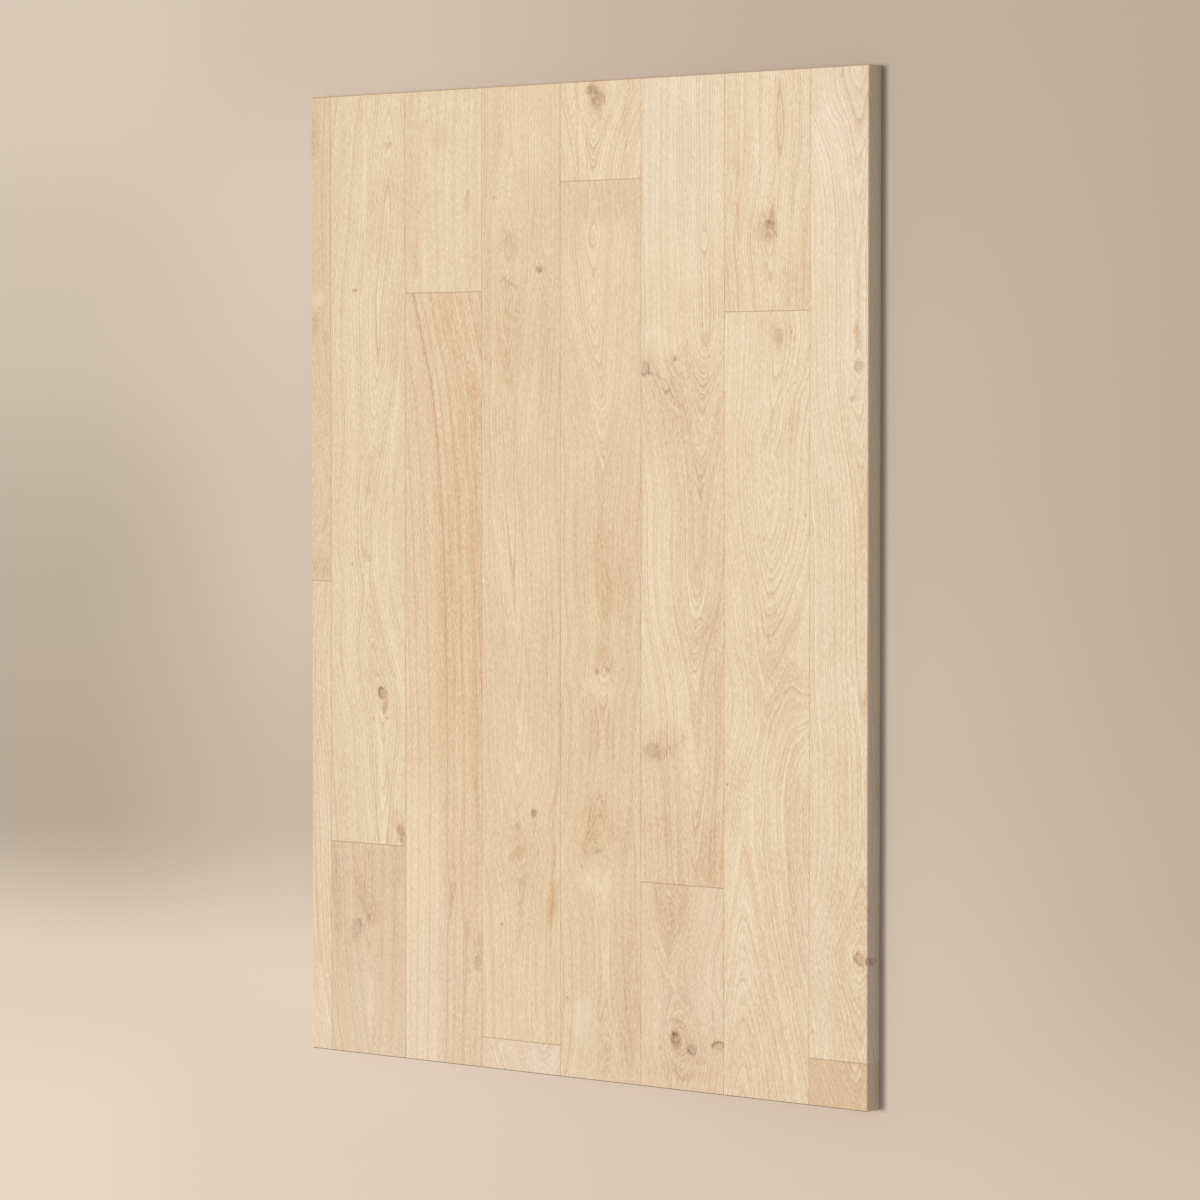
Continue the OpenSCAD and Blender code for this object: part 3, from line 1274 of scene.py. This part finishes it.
    @staticmethod
    def _layered(
        tree: bpy.types.NodeTree,
        colour: bpy.types.NodeSocket | tuple[float, ...],
        layers: Sequence[tuple[tuple[bpy.types.Node | float, ...], str]],
    ) -> bpy.types.NodeSocket:
        """Lays colours over the wood, one after another.

        Args:
            tree: The material's node tree.
            colour: The wood's colour so far.
            layers: For each colour, the factors whose product is its cover, and its hex value.

        Returns:
            The colour with its layers.
        """
        for factors, over in layers:
            cover = factors[0]
            for factor in factors[1:]:
                cover = add(tree, "Math", {0: cover, 1: factor}, operation="MULTIPLY")
            colour = add(tree, "Mix", {0: cover, 6: colour, 7: linear(over)}, data_type="RGBA").outputs[2]
        return colour

    def _wood(
        self,
        tree: bpy.types.NodeTree,
        place: bpy.types.Node,
        growth: bpy.types.Node,
        fleck: bpy.types.NodeSocket,
        fibre: bpy.types.NodeSocket,
        board: Board,
    ) -> bpy.types.NodeSocket:
        """Colours the clean wood, with its bands, patches, growth lines, streaks and flecks.

        Args:
            tree: The material's node tree.
            place: The place on the plank, in mm.
            growth: The growth at that place, in mm.
            fleck: The short flecks.
            fibre: The long streaks.
            board: What grew in the plank.

        Returns:
            The clean wood's colour.
        """
        slow = add(
            tree, "TexNoise", {"W": growth, "Scale": 1 / self.band, "Detail": 3.0}, noise_dimensions="1D"
        )
        band = add(
            tree,
            "MapRange",
            {"Value": slow.outputs[0], "From Min": 0.45, "From Max": 0.68, "To Max": board.bands},
        )

        scale = (1 / self.patch[0], 1 / self.patch[1], 1 / self.patch[0])
        spread = add(tree, "Mapping", {"Vector": place, "Location": (board.seed, 0, 0), "Scale": scale})
        patches = add(tree, "TexNoise", {"Vector": spread, "Scale": 1.0, "Detail": 3.0})
        level, warmth, shown = add(tree, "SeparateXYZ", {0: patches.outputs["Color"]}).outputs
        warm = add(tree, "MapRange", {"Value": warmth, "From Min": 0.45, "From Max": 0.7, "To Max": 0.45})
        shown = add(tree, "MapRange", {"Value": shown, "From Min": 0.35, "From Max": 0.65, "To Min": 0.55})
        dark, pale = self._lines(tree, growth, board)
        layers = (
            ((band,), self.band_colour),
            ((warm,), self.warm_colour),
            ((dark, board.lines, shown), self.line_colour),
            ((pale, self.pale_share * board.lines, shown), self.pale_colour),
        )
        colour = self._layered(tree, linear(board.tone), layers)

        shade = 1.0
        depths = ((fleck, self.fleck_depth), (fibre, self.fibre_depth), (level, self.patch_depth))
        for value, amount in depths:
            shade = add(tree, "Math", {0: value, 1: amount, 2: shade}, operation="MULTIPLY_ADD")
            shade = add(tree, "Math", {0: shade, 1: amount / 2}, operation="SUBTRACT")
        shade = add(tree, "CombineXYZ", {0: shade, 1: shade, 2: shade})
        shade = add(tree, "VectorMath", {0: shade, 1: self.shade_tint}, operation="POWER")
        return add(tree, "VectorMath", {0: colour, 1: shade}, operation="MULTIPLY").outputs["Vector"]

    def _marks(
        self,
        tree: bpy.types.NodeTree,
        place: bpy.types.Node,
        ragged: bpy.types.Node,
        fleck: bpy.types.NodeSocket,
        fibre: bpy.types.NodeSocket,
        colour: bpy.types.NodeSocket,
        board: Board,
    ) -> bpy.types.NodeSocket:
        """Lays on the plank's marks: broad stains let the grain through, spots hide it.

        Args:
            tree: The material's node tree.
            place: The place on the plank, in mm.
            ragged: That place with ragged edges, in mm.
            fleck: The short flecks.
            fibre: The long streaks.
            colour: The wood's colour so far.
            board: What grew in the plank.

        Returns:
            The colour with its marks.
        """
        frayed = self._shifted(tree, place, self.frayed, self.frayed_reach, board.seed)
        both = add(tree, "Math", {0: fleck, 1: fibre})
        streaky = add(
            tree,
            "MapRange",
            {"Value": both, "From Min": 1.15, "From Max": 0.85, "To Min": 0.4, "To Max": 1.05},
        )
        grainy = add(tree, "MapRange", {"Value": fleck, "From Min": 0.62, "From Max": 0.38, "To Min": 0.55})
        for mark in board.marks:
            if mark.broad:
                where, grain, inner = frayed, streaky, 0.0
            else:
                where, grain, inner = ragged, grainy, max(0.0, 1 - mark.soft)
            nearness = mark.nearness(tree, where)
            cover = add(
                tree,
                "MapRange",
                {"Value": nearness, "From Min": 1 + mark.soft, "From Max": inner, "To Max": mark.cover},
                interpolation_type="SMOOTHSTEP",
            )
            cover = add(tree, "Math", {0: cover, 1: grain}, operation="MULTIPLY")
            over = linear(mark.tint.value)
            blend = "MIX"
            if mark.broad:
                over = [stained / clean for stained, clean in zip(over, linear(self.mean_colour))]
                blend = "MULTIPLY"
            layer = {0: cover, 6: colour, 7: over}
            colour = add(tree, "Mix", layer, data_type="RGBA", blend_type=blend).outputs[2]
        return colour

    def _knots(
        self,
        tree: bpy.types.NodeTree,
        ragged: bpy.types.Node,
        fleck: bpy.types.NodeSocket,
        colour: bpy.types.NodeSocket,
        board: Board,
    ) -> bpy.types.NodeSocket:
        """Lays on the plank's knots: fine rings, a core, and a rim of bark on one side.

        Args:
            tree: The material's node tree.
            ragged: The place on the plank with ragged edges, in mm.
            fleck: The short flecks.
            colour: The wood's colour so far.
            board: What grew in the plank.

        Returns:
            The colour with its knots.
        """
        broken = add(tree, "MapRange", {"Value": fleck, "From Min": 0.58, "From Max": 0.42, "To Min": 0.1})
        grain = add(
            tree,
            "MapRange",
            {"Value": fleck, "From Min": 0.35, "From Max": 0.65, "To Min": 0.3, "To Max": 0.75},
        )
        for knot in board.knots:
            inside = knot.inside(tree, ragged)
            # The halo fades out from the core, and the bark is a rim at 0.85 of the knot's size
            reach = add(tree, "VectorMath", {0: inside}, operation="LENGTH").outputs["Value"]
            off = add(tree, "Math", {0: reach, 1: 0.85}, operation="SUBTRACT")
            off = add(tree, "Math", {0: off}, operation="ABSOLUTE")
            halo, core, rim = (
                add(
                    tree,
                    "MapRange",
                    {"Value": value, "From Min": none, "From Max": full},
                    interpolation_type="SMOOTHSTEP",
                )
                for value, none, full in ((reach, knot.halo, 0.7), (reach, 1.1, 0.4), (off, 0.42, 0.1))
            )
            rings = math.tau * min(knot.size) / self.knot_ring
            ring = add(tree, "Math", {0: reach, 1: rings}, operation="MULTIPLY")
            ring = add(tree, "Math", {0: ring}, operation="SINE")
            ring = add(tree, "Math", {0: ring, 1: 0.3, 2: 0.3}, operation="MULTIPLY_ADD")
            side = math.radians(knot.bark_side - knot.turn)
            towards = (math.cos(side), math.sin(side), 0)
            facing = add(tree, "VectorMath", {0: inside, 1: towards}, operation="DOT_PRODUCT")
            facing = add(
                tree,
                "MapRange",
                {"Value": facing.outputs["Value"], "From Min": -0.5, "From Max": 0.7, "To Min": 0.2},
            )
            layers = (
                ((ring, halo), Tint.BROWN.value),
                ((core, grain), knot.tint.value),
                ((facing, rim, broken, knot.bark), Tint.BARK.value),
            )
            colour = self._layered(tree, colour, layers)
        return colour

    def _edges(
        self, tree: bpy.types.NodeTree, fibre: bpy.types.NodeSocket, colour: bpy.types.NodeSocket
    ) -> bpy.types.NodeSocket:
        """Lays on rubbed bevels and dusty end joints, painted light in the seams, a painted shadow at the
        foot and painted shade on the sides.

        Args:
            tree: The material's node tree.
            fibre: The long streaks.
            colour: The wood's colour so far.

        Returns:
            The colour with its edges.
        """
        facing = add(tree, "SeparateXYZ", {0: add(tree, "TexCoord").outputs["Normal"]}).outputs
        sideways, lengthways, flat = (
            add(tree, "Math", {0: part, 1: part}, operation="MULTIPLY") for part in facing
        )
        upright = add(tree, "Math", {0: 1.0, 1: flat}, operation="SUBTRACT")
        # Bevels that face the foot end take a painted contact shadow
        foot_shadow_mask = add(
            tree, "Math", {0: facing[1], 1: -self.foot_shadow_slope}, operation="MULTIPLY", use_clamp=True
        )

        here = add(tree, "TexCoord").outputs["Object"]
        outwards = add(tree, "SeparateXYZ", {0: add(tree, "VectorMath", {0: here}, operation="ABSOLUTE")})
        beyond = [
            add(tree, "Math", {0: out, 1: side - self.arris * MM}, operation="GREATER_THAN")
            for out, side in zip(outwards.outputs[:2], CAD_BOX[1][:2])
        ]
        rim = add(tree, "Math", {0: beyond[0], 1: beyond[1]}, operation="MAXIMUM")
        inner = add(tree, "Math", {0: 1.0, 1: rim}, operation="SUBTRACT")
        uneven = add(
            tree,
            "MapRange",
            {"Value": fibre, "From Min": 0.4, "From Max": 0.6, "To Min": -0.2, "To Max": 1.8},
        )
        layers = (
            # Painted light on the seam bevels, paler than the wood, so that the shade in the grooves shows
            # less
            ((sideways, flat, uneven, inner), self.seam_light_colour),
            ((upright, flat, rim, self.rubbed_cover), self.rubbed_colour),
            ((lengthways, flat), self.gap_colour),
            # Painted contact shadow along the foot end's arris
            ((foot_shadow_mask, rim, flat, self.foot_shadow_cover), self.foot_shadow_colour),
            # Painted shade on the upright sides
            ((upright, upright, self.side_shade_cover), self.side_shade_colour),
        )
        return self._layered(tree, colour, layers)


@dataclass
class ParquetPanel:
    """The panel's planks and their finish.

    Attributes:
        oak: The finish.
        boards: What grew in each plank.
    """

    oak: MattOak = MattOak()
    boards: tuple[Board, ...] = BOARDS

    def dress(self) -> None:
        """Gives each plank its own oak."""
        for board in self.boards:
            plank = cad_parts[board.node]
            low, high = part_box(board.node)
            corner = Vector((low.x, high.y, high.z))
            self.cover(plank, self.oak.material(board, corner, self.face_length(plank)))
            LOG.info("%s: %d swirls, %d marks", board.node, len(board.swirls), len(board.marks))

    @staticmethod
    def face_length(plank: bpy.types.Object) -> float:
        """Measures a plank's face, without its end tongue.

        Args:
            plank: The plank's object.

        Returns:
            The face's length, in mm.
        """
        corners = [v.co for v in plank.data.vertices]
        top = max(c.z for c in corners)
        along = [c.y for c in corners if c.z > top - 0.1 * MM]
        return (max(along) - min(along)) / MM

    @staticmethod
    def cover(plank: bpy.types.Object, material: bpy.types.Material) -> None:
        """Puts one material in all of a plank's slots.

        Args:
            plank: The plank's object.
            material: The material.
        """
        if not plank.material_slots:
            plank.data.materials.append(material)
        for slot in plank.material_slots:
            slot.material = material


@dataclass(frozen=True)
class PaintedBoard:
    """Matt painted studio board: pale beige, with painted light and shade in soft broad tones, and hardly
    any gloss.

    Attributes:
        tones_with_painted_shade: Strips of paint from the left of the view to its right, each as stops from
            top to bottom.
        starts: Where across the floor each strip has come in fully, in metres.
        reach: How far the strips run along the floor, either way, in metres.
        roughness: That of matt paint.
        specular: Less than most paint, because the board hardly shines.
    """

    # The strips' darker and lighter bands are painted light and shade on the pale beige floor
    tones_with_painted_shade: tuple[tuple[tuple[float, str], ...], ...] = (
        (
            (0.08, "#DBCCBD"),
            (0.3, "#CFC1B2"),
            (0.52, "#BCAE9F"),
            (0.7, "#B8A99A"),
            (0.83, "#E2D3C4"),
            (0.95, "#E8D9CA"),
        ),
        (
            (0.08, "#D3C4B4"),
            (0.22, "#DACBBB"),
            (0.45, "#D4C5B5"),
            (0.69, "#CABBAC"),
            (0.82, "#E4D5C5"),
            (0.95, "#E1D1C1"),
        ),
        ((0.08, "#C1B1A1"), (0.4, "#C7B8A8"), (0.6, "#CCBDAD"), (0.8, "#D3C3B3"), (0.95, "#D9C9B9")),
        ((0.08, "#BCAD9D"), (0.5, "#BBAC9C"), (0.7, "#C1B2A2"), (0.95, "#D4C4B4")),
    )
    starts: tuple[float, ...] = (-0.85, -0.45, 0.45, 0.9)
    reach: float = 0.75
    roughness: float = 0.9
    specular: float = 0.2

    def material(self) -> bpy.types.Material:
        """Builds the board's paint.

        Returns:
            The material.
        """
        material = bpy.data.materials.new("matt_painted_board")
        material.use_nodes = True
        tree = material.node_tree
        shader = tree.nodes["Principled BSDF"]
        across, along, _ = add(tree, "SeparateXYZ", {0: add(tree, "TexCoord").outputs["Object"]}).outputs
        along = add(tree, "MapRange", {"Value": along, "From Min": self.reach, "From Max": -self.reach})
        colour = None
        # Each strip carries painted light and shade down the view, and the strips blend across it
        for tone, before, start in zip(self.tones_with_painted_shade, (None, *self.starts), self.starts):
            strip = add(tree, "ValToRGB", {0: along})
            set_stops(strip.color_ramp, [(position, linear(paint)) for position, paint in tone])
            if colour is None:
                colour = strip.outputs[0]
                continue
            cover = add(
                tree,
                "MapRange",
                {"Value": across, "From Min": before, "From Max": start},
                interpolation_type="SMOOTHSTEP",
            )
            colour = add(tree, "Mix", {0: cover, 6: colour, 7: strip}, data_type="RGBA").outputs[2]
        tree.links.new(colour, shader.inputs["Base Color"])
        shader.inputs["Roughness"].default_value = self.roughness
        shader.inputs["Specular IOR Level"].default_value = self.specular
        return material


@dataclass
class Studio:
    """A plain floor, one wide soft lamp nearly overhead, and the camera.

    Attributes:
        paint: The floor's finish.
        floor_reach: How far the floor runs from the panel's middle, in metres.
        floor_drop: How far the floor lies below the panel's back, in mm, so that the two don't touch.
        swing: Angle of the view from the face's normal, towards the last row, in degrees.
        rise: Angle of the view from the face's normal, towards the head, in degrees.
        distance: From the camera to the point it looks at, in metres.
        aim: That point, across and along from the panel's middle, in metres.
        lens: Focal length, in mm.
        sensor: Width of the sensor, in mm.
        key: Strength of the lamp.
        key_from: Direction that the lamp shines from.
        key_width: How wide the lamp looks from the panel, in degrees.
        key_colour: Its light, hardly warmer than white.
        fill: Light that comes from all round.
        backdrop: What the camera sees beyond the floor.
    """

    paint: PaintedBoard = PaintedBoard()
    floor_reach: float = 30.0
    floor_drop: float = 0.2
    swing: float = 41.774
    rise: float = 2.03
    distance: float = 5.6247
    aim: Point = (0.0354, -0.0195)
    lens: float = 152.19
    sensor: float = 36.0
    key: float = 1.985
    key_from: tuple[float, float, float] = (-0.3, 0.0, 0.954)
    key_width: float = 20.0
    key_colour: str = "#FFFCF8"
    fill: float = 0.385
    backdrop: str = "#D2C3B3"

    def build(self) -> None:
        """Builds the camera, the floor and the lights."""
        self.camera()
        self.floor()
        self.world()
        self.lamp()
        LOG.info("studio: camera, floor, world and lamp")

    def camera(self) -> None:
        """Places the camera over the panel, with the planks' head end at the top of the picture."""
        turn = Matrix.Rotation(math.radians(self.swing), 3, "Y")
        turn = turn @ Matrix.Rotation(-math.radians(self.rise), 3, "X")
        target = Vector((*self.aim, CAD_BOX[1][2]))
        place = target + turn @ Vector((0, 0, self.distance))
        data = bpy.data.cameras.new("camera")
        data.lens = self.lens
        data.sensor_width = self.sensor
        camera = bpy.data.objects.new("camera", data)
        camera.matrix_world = Matrix.Translation(place) @ turn.to_4x4()
        bpy.context.collection.objects.link(camera)
        bpy.context.scene.camera = camera

    def floor(self) -> None:
        """Lays the painted floor under the panel."""
        mesh = bpy.data.meshes.new("floor")
        shape = bmesh.new()
        bmesh.ops.create_grid(shape, x_segments=1, y_segments=1, size=self.floor_reach)
        bmesh.ops.translate(shape, verts=shape.verts, vec=(0, 0, -self.floor_drop * MM))
        shape.to_mesh(mesh)
        shape.free()
        floor = bpy.data.objects.new("floor", mesh)
        bpy.context.collection.objects.link(floor)
        floor.data.materials.append(self.paint.material())

    def world(self) -> None:
        """Fills the studio with even light, and shows the camera a backdrop like the floor."""
        world = bpy.data.worlds.new("studio")
        world.use_nodes = True
        tree = world.node_tree
        seen = add(tree, "LightPath").outputs["Is Camera Ray"]
        fill = (self.fill, self.fill, self.fill, 1)
        colour = add(tree, "Mix", {0: seen, 6: fill, 7: linear(self.backdrop)}, data_type="RGBA")
        tree.links.new(colour.outputs[2], tree.nodes["Background"].inputs["Color"])
        bpy.context.scene.world = world

    def lamp(self) -> None:
        """Hangs a wide soft lamp nearly over the face, a little to its first row's side."""
        data = bpy.data.lights.new("key", "SUN")
        data.energy = self.key
        data.angle = math.radians(self.key_width)
        data.color = linear(self.key_colour)[:3]
        key = bpy.data.objects.new("key", data)
        key.rotation_euler = Vector(self.key_from).to_track_quat("Z", "Y").to_euler()
        bpy.context.collection.objects.link(key)


def main() -> None:
    """Builds the scene in order."""
    logging.basicConfig(level=logging.INFO, format="%(name)s: %(message)s")
    bpy.context.scene.view_settings.view_transform = "Standard"
    ParquetPanel().dress()
    Studio().build()


if __name__ == "__main__":
    main()
